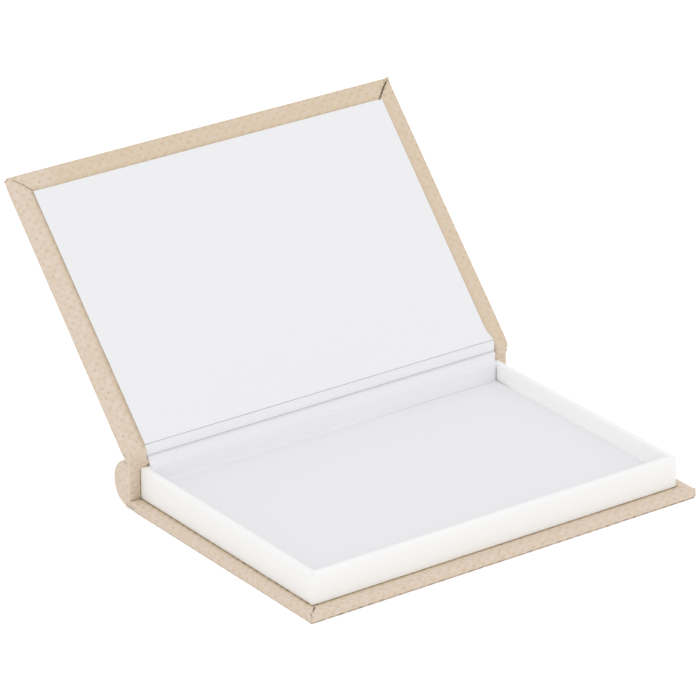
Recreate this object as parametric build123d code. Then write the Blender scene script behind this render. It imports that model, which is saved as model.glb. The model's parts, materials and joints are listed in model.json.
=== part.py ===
from build123d import *
from math import cos, radians, sin, sqrt
import os

# Clamshell book box, millimetres. +X runs along the spine, +Y from the fore edge to the spine, +Z up.
# The origin is on the underside of the bottom cover, below the middle of the tray.
# The lid is built closed and then turned back about the hinge to the pose it is stored in.

# Tray, sized for 102 x 152 prints
tray_length = 171.0
tray_depth = 112.0
wall_height = 12.6
wall_board = 2.0
wrap_paper = 0.3
tray_corner_radius = 1.0
wall_edge_radius = 0.7
floor_board_thick = 2.5
floor_board_count = 2
floor_board_clearance = 0.1

# Case: boards and the covering round them
greyboard = 3.0
covering = 0.5
side_overhang = 4.6
front_overhang = 5.9
turn_in = 15.0
infill_clearance = 0.4
mitre_gap = 0.3
mitre_start = 1.6
cover_corner_radius = 1.0
cover_edge_radius = 0.8
rear_rise_length = 5.0
rear_rise = 0.4

# Half-round spine
spine_radius = 9.95
spine_axis_rise = 6.3
spine_flat_offset = 0.5
spine_end_radius = 0.45
spine_core_edge_radius = 0.45
spine_turn_in = 7.0

# Hinge fold, at the top of the spine, and the lid
fold_back = 1.66
fold_above_spine_axis = 9.92
fold_bead_radius = 0.4
fold_clearance = 0.16
joint_width = 2.8
cloth_above_fold = 0.4
cloth_below_fold = 0.1
lid_outer_above_fold = 0.88
lid_open_angle = 132.8
lid_length = 116.8

# White liners
liner_paper = 0.15
lid_liner_side_margin = 7.2
lid_liner_front_margin = 8.0
lid_liner_rear_setback = 0.4
liner_width_clearance = 0.15
floor_fold_radius = 1.0
spine_fold_radius = 1.3
spine_top_fold_radius = 0.6
joint_liner_width = 163.4

# Two points nearer than this are one
touching = 1e-6

# Positions worked out from the above
cover_thick = greyboard + 2 * covering
half_length = tray_length / 2
half_depth = tray_depth / 2
wall = wall_board + 2 * wrap_paper
cover_half_length = half_length + side_overhang
fore_edge_y = -half_depth - front_overhang
wall_top = cover_thick + wall_height
floor_top = cover_thick + floor_board_count * floor_board_thick
spine_face_y = half_depth
spine_axis_y = spine_face_y + spine_flat_offset
spine_axis_z = cover_thick + spine_axis_rise
spine_core_radius = spine_radius - covering
fold_y = spine_face_y + fold_back
fold_z = spine_axis_z + fold_above_spine_axis
lid_rear_y = fold_y - joint_width
lid_fore_y = lid_rear_y - lid_length
lid_outer_z = fold_z + lid_outer_above_fold
lid_inner_z = lid_outer_z - cover_thick
hinge_axis = Axis((0, fold_y, fold_z), (1, 0, 0))


def block(x_range, y_range, z_range):
    """A box given by its low and high coordinate on each axis."""
    size = [high - low for low, high in (x_range, y_range, z_range)]
    corner = Pos(x_range[0], y_range[0], z_range[0])
    return corner * Box(*size, align=(Align.MIN, Align.MIN, Align.MIN))


def extrude_along_x(profile, half_width):
    """A closed wire in the YZ plane, made a bar that reaches half_width each side of the middle."""
    return extrude(make_face(profile), amount=half_width, dir=(1, 0, 0), both=True)


def yz(points):
    """Points of the YZ plane as points in space."""
    return [(0, y, z) for y, z in points]


def arc_yz(centre, radius, start, end):
    """An arc in the YZ plane, by its two angles from +Y towards +Z, in degrees."""
    angles = (start, (start + end) / 2, end)
    y, z = centre
    ends = [(0, y + radius * cos(radians(a)), z + radius * sin(radians(a))) for a in angles]
    return ThreePointArc(*ends)


def joined(*edges):
    """Edges in order, with a straight edge wherever one ends away from the next, as a closed wire."""
    chain = []
    for index, edge in enumerate(edges):
        following = edges[(index + 1) % len(edges)]
        chain.append(edge)
        if (edge @ 1 - following @ 0).length > touching:
            chain.append(Line(edge @ 1, following @ 0))
    return Wire(chain)


# Covered boards: the bottom and the lid are the same construction

def covered_board(rear_y, fore_y, low_z, face_up):
    """The covering, board and infill card of one cover, which lies flat with its lowest face at low_z.

    The covering goes round the outer face and three edges, and is turned in on the inner face, which is
    the upper one where face_up is true. It stays open at the rear, where it runs on to the spine.
    """
    high_z = low_z + cover_thick
    half = cover_half_length
    body = block((-half, half), (fore_y, rear_y), (low_z, high_z))
    corners = body.edges().filter_by(Axis.Z).group_by(Axis.Y)[0]
    body = fillet(corners, cover_corner_radius)
    rims = [e for e in body.edges() if e.center().Y < rear_y - greyboard and is_level(e)]
    body = fillet(rims, cover_edge_radius)

    inner_half = half - covering
    board_z = (low_z + covering, high_z - covering)
    board = block((-inner_half, inner_half), (fore_y + covering, rear_y), board_z)
    board = fillet(board.edges().filter_by(Axis.Z).group_by(Axis.Y)[0], cover_corner_radius - covering)

    window_half = half - turn_in
    window_fore = fore_y + turn_in
    inner_range = (high_z - covering, high_z) if face_up else (low_z, low_z + covering)
    window = block((-window_half, window_half), (window_fore, rear_y), inner_range)
    skin = body - board - window
    for side in (-1, 1):
        skin -= mitre(side, fore_y, inner_range)

    card_half = window_half - infill_clearance
    card = block((-card_half, card_half), (window_fore + infill_clearance, rear_y), inner_range)
    return skin, board, card


def is_level(edge):
    """True for an edge that lies in a horizontal plane."""
    return abs((edge @ 0).Z - (edge @ 1).Z) < touching


def mitre(side, fore_y, inner_range):
    """The slit where two turn-ins meet on the diagonal of a corner, inside its rounded rims."""
    along = (mitre_start * sqrt(2), turn_in * sqrt(2) + mitre_gap)
    slit = Rot(0, 0, 45) * block(along, (-mitre_gap / 2, mitre_gap / 2), inner_range)
    if side > 0:
        slit = mirror(slit, Plane.YZ)
    return Pos(side * cover_half_length, fore_y, 0) * slit


bottom_cover, bottom_board, bottom_infill = covered_board(spine_face_y, fore_edge_y, 0, True)
lid_cover, lid_board, lid_infill = covered_board(lid_rear_y, lid_fore_y, lid_inner_z, False)

# The bottom cover lifts a little towards the spine, where the covering leaves the board
rise_start = spine_face_y - rear_rise_length
rise_profile = Polyline(*yz([(rise_start, 0), (spine_face_y, 0), (spine_face_y, rear_rise)]), close=True)
bottom_cover -= extrude_along_x(rise_profile, cover_half_length)


# Half-round spine

def half_round(radius, half_width):
    """A half-round bar on the spine's axis, with its flat side on the spine's face."""
    across = (-half_width, half_width)
    behind = block(across, (0, radius), (-radius, radius))
    round_part = (Rot(0, 90, 0) * Cylinder(radius, 2 * half_width)) & behind
    flat_height = sqrt(radius ** 2 - spine_flat_offset ** 2)
    flat = block(across, (-spine_flat_offset, 0), (-flat_height, flat_height))
    place = Pos(0, spine_axis_y, spine_axis_z)
    return place * round_part + place * flat


spine_half_length = cover_half_length
core_half_length = spine_half_length - covering
flat_turn_in_start = spine_half_length - spine_turn_in
spine_core = half_round(spine_core_radius, core_half_length)
for side in (-1, 1):
    rebate_x = sorted((side * flat_turn_in_start, side * core_half_length))
    rebate_y = (spine_face_y, spine_axis_y)
    spine_core -= block(rebate_x, rebate_y, (0, 2 * spine_axis_z))
long_edges = spine_core.edges().filter_by(Axis.X)
core_corners = [e for e in long_edges if abs(e.center().Y - spine_face_y) < touching]
spine_core = fillet(core_corners, spine_core_edge_radius)

spine_cover = half_round(spine_radius, spine_half_length)
end_rims = [e for e in spine_cover.edges() if abs(abs(e.center().X) - spine_half_length) < touching]
spine_cover = fillet(end_rims, spine_end_radius)
spine_cover -= spine_core
bare_face = (spine_face_y, spine_axis_y)
spine_cover -= block((-flat_turn_in_start, flat_turn_in_start), bare_face, (0, 2 * spine_axis_z))
# The covering stops short of the fold, where the hinge takes over
bead_room = fold_bead_radius + fold_clearance
bead_channel = Pos(0, fold_y, fold_z) * Rot(0, 90, 0) * Cylinder(bead_room, 2 * spine_half_length)
spine_cover -= bead_channel
bare_top = (spine_axis_z, spine_axis_z + 2 * spine_radius)
spine_cover -= block((-flat_turn_in_start, flat_turn_in_start), (spine_face_y, fold_y), bare_top)


# Tray: four board walls, butted at the corners and wrapped in one paper

def wall_ring(inset, edge_radius, corner_radius):
    """The ring of the walls, inset from their finished faces, with its top edges rounded."""
    outer = RectangleRounded(tray_length - 2 * inset, tray_depth - 2 * inset, corner_radius)
    inner = Rectangle(tray_length - 2 * wall + 2 * inset, tray_depth - 2 * wall + 2 * inset)
    ring = extrude(outer - inner, amount=wall_height - inset)
    ring = fillet(ring.edges().group_by(Axis.Z)[-1], edge_radius)
    return Pos(0, 0, cover_thick) * ring


board_ring = wall_ring(wrap_paper, wall_edge_radius - wrap_paper, tray_corner_radius - wrap_paper)
tray_wrap = wall_ring(0, wall_edge_radius, tray_corner_radius) - board_ring
wall_z = (cover_thick, wall_top)
inside_y = half_depth - wrap_paper - wall_board
tray_front_wall = board_ring & block((-half_length, half_length), (-half_depth, -inside_y), wall_z)
tray_rear_wall = board_ring & block((-half_length, half_length), (inside_y, half_depth), wall_z)
tray_left_wall = board_ring & block((-half_length, 0), (-inside_y, inside_y), wall_z)
tray_right_wall = board_ring & block((0, half_length), (-inside_y, inside_y), wall_z)

floor_half_x = half_length - wall - floor_board_clearance
floor_half_y = half_depth - wall - floor_board_clearance
floor_boards = []
for layer in range(floor_board_count):
    layer_z = cover_thick + layer * floor_board_thick
    layer_range = (layer_z, layer_z + floor_board_thick)
    floor_boards.append(block((-floor_half_x, floor_half_x), (-floor_half_y, floor_half_y), layer_range))


# White liner of the tray: floor, rear wall, over its top and up the spine's face to the fold

liner_half_width = half_length - wall - liner_width_clearance
wall_face_y = half_depth - wall
top_fold_y = wall_face_y + wall_edge_radius
top_fold_z = wall_top - wall_edge_radius
spine_fold_y = spine_face_y - liner_paper - spine_fold_radius
spine_fold_z = wall_top + liner_paper + spine_fold_radius
spine_top_y = spine_face_y - liner_paper + spine_top_fold_radius
spine_top_z = spine_axis_z + spine_core_radius + 2 * liner_paper - spine_top_fold_radius
liner_end_y = fold_y - bead_room
floor_fold_y = wall_face_y - liner_paper - floor_fold_radius
floor_fold_z = floor_top + liner_paper + floor_fold_radius


def liner_side(offset):
    """One side of the tray liner's section, offset from the face it is glued to, as edges in order."""
    inward = liner_paper - offset
    start = Line((0, -floor_half_y, floor_top + offset), (0, floor_fold_y, floor_top + offset))
    return [
        start,
        arc_yz((floor_fold_y, floor_fold_z), floor_fold_radius + inward, -90, 0),
        arc_yz((top_fold_y, top_fold_z), wall_edge_radius + offset, 180, 90),
        arc_yz((spine_fold_y, spine_fold_z), spine_fold_radius + inward, -90, 0),
        arc_yz((spine_top_y, spine_top_z), spine_top_fold_radius - inward, 180, 90),
    ]


def reversed_edges(edges):
    """The same edges, run the other way."""
    return [reverse_edge(edge) for edge in reversed(edges)]


def reverse_edge(edge):
    """One straight edge or arc, run the other way."""
    if edge.geom_type == GeomType.LINE:
        return Line(edge @ 1, edge @ 0)
    return ThreePointArc(edge @ 1, edge @ 0.5, edge @ 0)


upper_side = liner_side(liner_paper)
lower_side = liner_side(0)
liner_end_upper = Line(upper_side[-1] @ 1, (0, liner_end_y, (upper_side[-1] @ 1).Z))
liner_end_lower = Line((0, liner_end_y, (lower_side[-1] @ 1).Z), lower_side[-1] @ 1)
liner_wire = joined(*upper_side, liner_end_upper, liner_end_lower, *reversed_edges(lower_side))
tray_liner = extrude_along_x(liner_wire, liner_half_width)


# White liner of the lid, and the hinge: built with the lid closed

lid_liner_half = cover_half_length - lid_liner_side_margin
lid_liner_y = (lid_fore_y + lid_liner_front_margin, lid_rear_y - lid_liner_rear_setback)
lid_liner_z = (lid_inner_z - liner_paper, lid_inner_z)
lid_liner = block((-lid_liner_half, lid_liner_half), lid_liner_y, lid_liner_z)

# The cloth leaves the fold as a small roll and runs to the outer edge of the lid board
joint_half = cover_half_length
cloth_section = Polyline(
    *yz(
        [
            (fold_y, fold_z + cloth_above_fold),
            (lid_rear_y, lid_outer_z),
            (lid_rear_y, lid_outer_z - covering),
            (fold_y, fold_z - cloth_below_fold),
        ]
    ),
    close=True,
)
bead = Pos(0, fold_y, fold_z) * Rot(0, 90, 0) * Cylinder(fold_bead_radius, 2 * joint_half)
joint_cloth = bead + extrude_along_x(cloth_section, joint_half)
end_panel = Polyline(
    *yz(
        [
            (fold_y, fold_z),
            (lid_rear_y, lid_outer_z - covering),
            (lid_rear_y, lid_inner_z),
        ]
    ),
    close=True,
)
end_prism = extrude_along_x(end_panel, joint_half)
end_hollow = extrude_along_x(end_panel, joint_half - covering)
joint_cloth += end_prism - end_hollow

# The liner over the hinge, from the fold to the inner edge of the lid board
liner_slope = Vector(0, lid_rear_y - fold_y, lid_inner_z - fold_z).normalized()
liner_normal = Vector(0, -liner_slope.Z, liner_slope.Y)
liner_start = Vector(0, fold_y, fold_z) + liner_slope * bead_room
liner_stop = Vector(0, lid_rear_y, lid_inner_z)
joint_liner_wire = Polyline(
    liner_start,
    liner_stop,
    liner_stop + liner_normal * liner_paper,
    liner_start + liner_normal * liner_paper,
    close=True,
)
joint_liner = extrude_along_x(joint_liner_wire, joint_liner_width / 2)


parts = {
    "bottom_board": bottom_board,
    "bottom_cover": bottom_cover,
    "bottom_infill": bottom_infill,
    "spine_core": spine_core,
    "spine_cover": spine_cover,
    "tray_front_wall": tray_front_wall,
    "tray_rear_wall": tray_rear_wall,
    "tray_left_wall": tray_left_wall,
    "tray_right_wall": tray_right_wall,
    "tray_wrap": tray_wrap,
    "floor_board_lower": floor_boards[0],
    "floor_board_upper": floor_boards[1],
    "tray_liner": tray_liner,
}
lid_parts = {
    "lid_board": lid_board,
    "lid_cover": lid_cover,
    "lid_infill": lid_infill,
    "lid_liner": lid_liner,
    "joint_cloth": joint_cloth,
    "joint_liner": joint_liner,
}
for name, shape in lid_parts.items():
    parts[name] = shape.rotate(hinge_axis, -lid_open_angle)

os.makedirs("parts", exist_ok=True)
for name, shape in parts.items():
    export_step(shape, f"parts/{name}.step")
print("hinge axis at Y", round(fold_y, 3), "Z", round(fold_z, 3))
print("tray inside length", round(tray_length - 2 * wall, 2))
print("tray inside width", round(tray_depth - 2 * wall - liner_paper, 2))
print("tray inside depth", round(wall_top - floor_top - liner_paper, 2))
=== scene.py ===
import json
from math import cos, pi, radians, sin, sqrt

import bmesh
import bpy
from mathutils import Matrix, Vector, noise
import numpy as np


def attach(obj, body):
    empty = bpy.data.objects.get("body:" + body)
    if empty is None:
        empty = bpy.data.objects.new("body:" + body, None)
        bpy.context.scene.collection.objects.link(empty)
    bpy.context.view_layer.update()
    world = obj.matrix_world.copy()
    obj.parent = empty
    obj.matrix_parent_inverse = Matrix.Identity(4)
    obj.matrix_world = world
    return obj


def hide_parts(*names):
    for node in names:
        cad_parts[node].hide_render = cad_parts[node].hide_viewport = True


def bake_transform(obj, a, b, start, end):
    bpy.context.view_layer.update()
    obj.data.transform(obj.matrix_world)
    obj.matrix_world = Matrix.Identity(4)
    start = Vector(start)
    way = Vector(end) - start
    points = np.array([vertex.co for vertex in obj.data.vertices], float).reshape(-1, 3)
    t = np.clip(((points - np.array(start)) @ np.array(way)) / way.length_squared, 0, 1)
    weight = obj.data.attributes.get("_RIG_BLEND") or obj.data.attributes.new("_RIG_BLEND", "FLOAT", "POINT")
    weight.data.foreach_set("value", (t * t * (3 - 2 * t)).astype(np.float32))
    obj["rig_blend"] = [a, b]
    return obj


# Clamshell book box: paper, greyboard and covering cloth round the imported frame.
# Lengths are in millimetres until a mesh is finished, which turns it to metres.
# +X runs along the spine, +Y from the fore edge to the spine, +Z up.

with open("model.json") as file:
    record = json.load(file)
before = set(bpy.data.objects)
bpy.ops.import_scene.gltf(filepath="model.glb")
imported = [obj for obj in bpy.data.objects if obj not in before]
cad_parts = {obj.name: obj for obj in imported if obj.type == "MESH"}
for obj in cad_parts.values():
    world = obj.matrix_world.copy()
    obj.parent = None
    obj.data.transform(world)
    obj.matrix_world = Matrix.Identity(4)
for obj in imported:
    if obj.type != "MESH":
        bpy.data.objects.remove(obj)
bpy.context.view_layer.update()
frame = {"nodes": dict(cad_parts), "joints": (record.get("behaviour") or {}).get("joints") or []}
hingeJoint = frame["joints"][0]
hinge = Vector(hingeJoint["pos_m"]) * 1000
openAngle = radians(hingeJoint["range_deg"][1])
lidTurn = Matrix.Translation(hinge) @ Matrix.Rotation(-openAngle, 4, "X") @ Matrix.Translation(-hinge)
lidReturn = lidTurn.inverted()


def nodeBox(node, turn=Matrix.Identity(4)):
    # lowest and highest corner of a node in millimetres, or of the node turned
    points = [turn @ (v.co * 1000) for v in frame["nodes"][node].data.vertices]
    low = Vector([min(p[axis] for p in points) for axis in range(3)])
    high = Vector([max(p[axis] for p in points) for axis in range(3)])
    return low, high


def opened(y, z):
    # a point of the closed lid, where it is with the lid open
    point = lidTurn @ Vector((0, y, z))
    return point.y, point.z


def mixed(a, b, share):
    return a + (b - a) * share


def smoothShare(value, low, high):
    share = min(max((value - low) / (high - low), 0), 1)
    return share * share * (3 - 2 * share)


bottomLow, bottomHigh = nodeBox("bottom_cover")
spineLow, spineHigh = nodeBox("spine_cover")
lidLow, lidHigh = nodeBox("lid_cover", lidReturn)
wrapLow, wrapHigh = nodeBox("tray_wrap")
linerLow, linerHigh = nodeBox("tray_liner")
lidLinerLow, lidLinerHigh = nodeBox("lid_liner", lidReturn)
print("frame read: hinge at", [round(c, 2) for c in hinge], "mm")


# Materials


def hexColour(text):
    # sRGB hex to linear RGBA
    parts = [int(text[i:i + 2], 16) / 255 for i in (1, 3, 5)]
    linear = [p / 12.92 if p <= 0.04045 else ((p + 0.055) / 1.055) ** 2.4 for p in parts]
    return (*linear, 1)


def addNode(tree, kind, inputs=None, **settings):
    node = tree.nodes.new("ShaderNode" + kind)
    for name, value in settings.items():
        setattr(node, name, value)
    for name, value in (inputs or {}).items():
        if isinstance(value, bpy.types.NodeSocket):
            tree.links.new(value, node.inputs[name])
        else:
            node.inputs[name].default_value = value
    return node


def newMaterial(name):
    material = bpy.data.materials.new(name)
    material.use_nodes = True
    return material, material.node_tree, material.node_tree.nodes["Principled BSDF"]


coveringValues = {
    "pinkColour": "#E4D3C4",
    "yellowColour": "#E1D0BB",
    # a darker beige: the mottles lean to it at random, and the embossed pits take it as painted shade
    "pitShadeColour": "#BCA78A",
    "paintedShadeColour": "#D0BA97",    # painted shade near the tray, the liners' edges and the spine's strip; also a flat darker tone over most of the lid
    # painted shade for crevices, pleats and slits, and painted contact shadow along the bottom's lower edge; also the
    # darker line round the end faces
    "creviceShadeColour": "#75634A",
    "mottleSize": 1.9,
    "mottleShade": 0.22,  # how far the mottles darken towards the pits
    "threadAcross": 2.3,  # mm between embossed threads along the spine
    "threadAlong": 2.0,   # and across it
    "wander": 0.42,       # mm that a thread strays
    "grainSize": 0.42,    # mm, the leatherette's own pores
    "patchSize": 3.4,
    "beadSize": 2.1,      # mm, size of the noise that breaks the painted crevice shade into beads
    "embossDepth": 0.08,
    "grainDepth": 0.03,
    "roughness": 0.58,
}


def embossedCovering():
    # Leatherette paper, embossed between rollers with a plain weave and varnished satin.
    # The eye sees soft staggered pits about 4 mm apart, faint and uneven, on a beige that drifts from pink to yellow.
    v = coveringValues
    material, tree, shader = newMaterial("embossedLeatherette")
    place = addNode(tree, "UVMap", uv_map="sheetMm")
    stray = addNode(tree, "TexNoise", {"Vector": place.outputs[0], "Scale": 1 / 4.5, "Detail": 2.0})
    centred = addNode(tree, "VectorMath", {0: stray.outputs["Color"], 1: (0.5, 0.5, 0.5)}, operation="SUBTRACT")
    scaled = addNode(tree, "VectorMath", {0: centred.outputs[0], "Scale": v["wander"] * 4}, operation="SCALE")
    moved = addNode(tree, "VectorMath", {0: place.outputs[0], 1: scaled.outputs[0]}, operation="ADD")
    axes = addNode(tree, "SeparateXYZ", {0: moved.outputs[0]})
    waves, crests = [], []
    for axis, pitch in ((0, v["threadAcross"]), (1, v["threadAlong"])):
        turn = addNode(tree, "Math", {0: axes.outputs[axis], 1: pi / pitch}, operation="MULTIPLY")
        waves.append(addNode(tree, "Math", {0: turn.outputs[0]}, operation="SINE"))
        crests.append(addNode(tree, "Math", {0: turn.outputs[0]}, operation="COSINE"))
    bumps = [addNode(tree, "Math", {0: wave.outputs[0]}, operation="ABSOLUTE") for wave in waves]
    over = addNode(tree, "Math", {0: waves[0].outputs[0], 1: waves[1].outputs[0]}, operation="MULTIPLY")
    choice = addNode(tree, "MapRange", {"Value": over.outputs[0], "From Min": -0.3, "From Max": 0.3},
                     interpolation_type="SMOOTHSTEP")
    floats = []
    for across, along in ((0, 1), (1, 0)):
        arch = addNode(tree, "Math", {0: bumps[along].outputs[0], 1: 0.45, 2: 0.55}, operation="MULTIPLY_ADD")
        floats.append(addNode(tree, "Math", {0: bumps[across].outputs[0], 1: arch.outputs[0]}, operation="MULTIPLY"))
    weave = addNode(tree, "Mix", {0: choice.outputs[0], 2: floats[0].outputs[0], 3: floats[1].outputs[0]})
    pores = addNode(tree, "TexNoise", {"Vector": place.outputs[0], "Scale": 1 / v["grainSize"], "Detail": 3.0,
                                       "Roughness": 0.6})
    patches = addNode(tree, "TexNoise", {"Vector": place.outputs[0], "Scale": 1 / v["patchSize"], "Detail": 2.0})
    drift = addNode(tree, "MapRange", {"Value": patches.outputs["Fac"], "From Min": 0.36, "From Max": 0.64},
                    interpolation_type="SMOOTHSTEP")

    # every second hole of the weave is pressed deeper, some of them hardly at all
    crossing = addNode(tree, "Math", {0: crests[0].outputs[0], 1: crests[1].outputs[0]}, operation="MULTIPLY")
    holes = addNode(tree, "MapRange", {"Value": crossing.outputs[0], "From Min": 0.3, "From Max": 0.95},
                    interpolation_type="SMOOTHSTEP")
    uneven = addNode(tree, "TexNoise", {"Vector": place.outputs[0], "Scale": 1 / 2.6, "Detail": 1.0})
    strength = addNode(tree, "MapRange", {"Value": uneven.outputs["Fac"], "From Min": 0.36, "From Max": 0.66,
                                          "To Min": 0.1, "To Max": 0.85})
    specks = addNode(tree, "MapRange", {"Value": pores.outputs["Fac"], "From Min": 0.3, "From Max": 0.62,
                                        "To Min": 1.0, "To Max": 0.3})
    pits = addNode(tree, "Math", {0: holes.outputs[0], 1: strength.outputs[0]}, operation="MULTIPLY")
    depth = addNode(tree, "Math", {0: pits.outputs[0], 1: specks.outputs[0]}, operation="MULTIPLY")
    blotches = addNode(tree, "TexNoise", {"Vector": place.outputs[0], "Scale": 1 / v["mottleSize"], "Detail": 3.0})
    mottle = addNode(tree, "MapRange", {"Value": blotches.outputs["Fac"], "From Min": 0.4, "From Max": 0.66,
                                        "To Min": 0.0, "To Max": v["mottleShade"]})
    base = addNode(tree, "Mix", {0: drift.outputs[0], 6: hexColour(v["pinkColour"]),
                                 7: hexColour(v["yellowColour"])}, data_type="RGBA")
    ground = addNode(tree, "Mix", {0: mottle.outputs[0], 6: base.outputs[2],
                                   7: hexColour(v["pitShadeColour"])}, data_type="RGBA")
    # the pits are darkened as painted shade, as well as pressed in by the bump
    colour = addNode(tree, "Mix", {0: depth.outputs[0], 6: ground.outputs[2], 7: hexColour(v["pitShadeColour"])},
                     data_type="RGBA")
    # painted shade near the tray, the liners' edges and the spine's strip, and a flat darker tone on the lid, from a
    # vertex attribute
    paintedShade = addNode(tree, "Attribute", attribute_name="paintedShade")
    withPaintedShade = addNode(tree, "Mix", {0: paintedShade.outputs["Fac"], 6: colour.outputs[2],
                                   7: hexColour(v["paintedShadeColour"])}, data_type="RGBA")
    # painted shade in crevices, pleats and slits, and along the lower edges, broken into beads along the weave
    creviceShade = addNode(tree, "Attribute", attribute_name="creviceShade")
    beads = addNode(tree, "TexNoise", {"Vector": place.outputs[0], "Scale": 1 / v["beadSize"], "Detail": 2.0})
    bead = addNode(tree, "MapRange", {"Value": beads.outputs["Fac"], "From Min": 0.38, "From Max": 0.62,
                                      "To Min": 0.45, "To Max": 1.0})
    dash = addNode(tree, "MapRange", {"Value": over.outputs[0], "From Min": -0.5, "From Max": 0.5,
                                      "To Min": 0.5, "To Max": 1.15})
    broken = addNode(tree, "Math", {0: bead.outputs[0], 1: dash.outputs[0]}, operation="MULTIPLY")
    creviceShadeAmount = addNode(tree, "Math", {0: creviceShade.outputs["Fac"], 1: broken.outputs[0]}, operation="MULTIPLY")
    finish = addNode(tree, "Mix", {0: creviceShadeAmount.outputs[0], 6: withPaintedShade.outputs[2],
                                   7: hexColour(v["creviceShadeColour"])}, data_type="RGBA")
    pressed = addNode(tree, "Math", {0: pits.outputs[0], 1: -0.6, 2: weave.outputs[0]}, operation="MULTIPLY_ADD")
    emboss = addNode(tree, "Bump", {"Height": pressed.outputs[0], "Strength": 0.8,
                                    "Distance": v["embossDepth"] / 1000})
    fine = addNode(tree, "Bump", {"Height": pores.outputs["Fac"], "Strength": 0.5, "Normal": emboss.outputs[0],
                                  "Distance": v["grainDepth"] / 1000})
    tree.links.new(finish.outputs[2], shader.inputs["Base Color"])
    tree.links.new(fine.outputs[0], shader.inputs["Normal"])
    shader.inputs["Roughness"].default_value = v["roughness"]
    shader.inputs["Specular IOR Level"].default_value = 0.3
    return material


wrapPaperValues = {
    "colour": "#FAFAFA",
    "mottleColour": "#F7F7F6",
    # painted shade in the rear inner corner, along the right wall's foot and in the nick
    "creaseShadeColour": "#A9A9A2",
    "fibreSize": 0.5,   # mm
    "cockleSize": 14.0,  # mm, how glue lets the paper wave
    "fibreDepth": 0.012,
    "cockleDepth": 0.05,
    "roughness": 0.8,
}

linerPaperValues = {
    "colour": "#EFEFF1",
    "mottleColour": "#EDEDF0",
    # painted shade in the liner's folds and at the gaps between sheets
    "creaseShadeColour": "#A9A9AC",
    "fibreSize": 0.35,
    "cockleSize": 22.0,
    "fibreDepth": 0.006,
    "cockleDepth": 0.04,
    "roughness": 0.7,
}


def paper(name, v):
    # Machine-made paper glued over board: matt, with faint fibres and the slow waves that glue leaves.
    material, tree, shader = newMaterial(name)
    place = addNode(tree, "TexCoord")
    inMm = addNode(tree, "VectorMath", {0: place.outputs["Object"], "Scale": 1000.0}, operation="SCALE")
    fibres = addNode(tree, "TexNoise", {"Vector": inMm.outputs[0], "Scale": 1 / v["fibreSize"], "Detail": 4.0})
    cockle = addNode(tree, "TexNoise", {"Vector": inMm.outputs[0], "Scale": 1 / v["cockleSize"], "Detail": 1.0})
    ground = addNode(tree, "Mix", {0: fibres.outputs["Fac"], 6: hexColour(v["colour"]),
                                   7: hexColour(v["mottleColour"])}, data_type="RGBA")
    # painted shade along folds, corners and gaps, from a vertex attribute
    creaseShade = addNode(tree, "Attribute", attribute_name="creaseShade")
    colour = addNode(tree, "Mix", {0: creaseShade.outputs["Fac"], 6: ground.outputs[2],
                                   7: hexColour(v["creaseShadeColour"])}, data_type="RGBA")
    waves = addNode(tree, "Bump", {"Height": cockle.outputs["Fac"], "Strength": 0.5,
                                   "Distance": v["cockleDepth"] / 1000})
    fine = addNode(tree, "Bump", {"Height": fibres.outputs["Fac"], "Strength": 0.4, "Normal": waves.outputs[0],
                                  "Distance": v["fibreDepth"] / 1000})
    tree.links.new(colour.outputs[2], shader.inputs["Base Color"])
    tree.links.new(fine.outputs[0], shader.inputs["Normal"])
    shader.inputs["Roughness"].default_value = v["roughness"]
    shader.inputs["Specular IOR Level"].default_value = 0.25
    return material


greyboardValues = {"colour": "#857458", "fleckColour": "#65563E", "fleckSize": 0.8, "roughness": 0.9}


def greyboard():
    # Recycled greyboard: pressed pulp, rough and flecked, seen only down the slits of the covering.
    v = greyboardValues
    material, tree, shader = newMaterial("rawGreyboard")
    place = addNode(tree, "TexCoord")
    inMm = addNode(tree, "VectorMath", {0: place.outputs["Object"], "Scale": 1000.0}, operation="SCALE")
    flecks = addNode(tree, "TexNoise", {"Vector": inMm.outputs[0], "Scale": 1 / v["fleckSize"], "Detail": 5.0})
    colour = addNode(tree, "Mix", {0: flecks.outputs["Fac"], 6: hexColour(v["colour"]),
                                   7: hexColour(v["fleckColour"])}, data_type="RGBA")
    rough = addNode(tree, "Bump", {"Height": flecks.outputs["Fac"], "Strength": 0.5, "Distance": 0.0001})
    tree.links.new(colour.outputs[2], shader.inputs["Base Color"])
    tree.links.new(rough.outputs[0], shader.inputs["Normal"])
    shader.inputs["Roughness"].default_value = v["roughness"]
    return material


coveringMaterial = embossedCovering()
wrapMaterial = paper("uncoatedWrapPaper", wrapPaperValues)
linerMaterial = paper("smoothLinerPaper", linerPaperValues)
boardMaterial = greyboard()
print("materials made")


# Mesh helpers


def growStrip(bm, lines, closed=False):
    # extrudes a first line of vertices to each next line of points, as a strip of quads
    verts = [bm.verts.new(point) for point in lines[0]]
    links = list(zip(verts, verts[1:] + verts[:1])) if closed else list(zip(verts, verts[1:]))
    edges = [bm.edges.new(pair) for pair in links]
    rows = [verts]
    for line in lines[1:]:
        made = bmesh.ops.extrude_edge_only(bm, edges=edges)["geom"]
        fresh = {e for e in made if isinstance(e, bmesh.types.BMVert)}
        verts = [next(e.other_vert(v) for e in v.link_edges if e.other_vert(v) in fresh) for v in verts]
        for vert, point in zip(verts, line):
            vert.co = point
        links = list(zip(verts, verts[1:] + verts[:1])) if closed else list(zip(verts, verts[1:]))
        edges = [bm.edges.get(pair) for pair in links]
        rows.append(verts)
    return rows


def cutAcross(bm, axis, places):
    # adds edge loops where planes square to an axis cut the mesh
    for place in places:
        everything = list(bm.verts) + list(bm.edges) + list(bm.faces)
        spot, normal = Vector(), Vector()
        spot[axis], normal[axis] = place, 1
        bmesh.ops.bisect_plane(bm, geom=everything, dist=1e-4, plane_co=spot, plane_no=normal)


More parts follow.
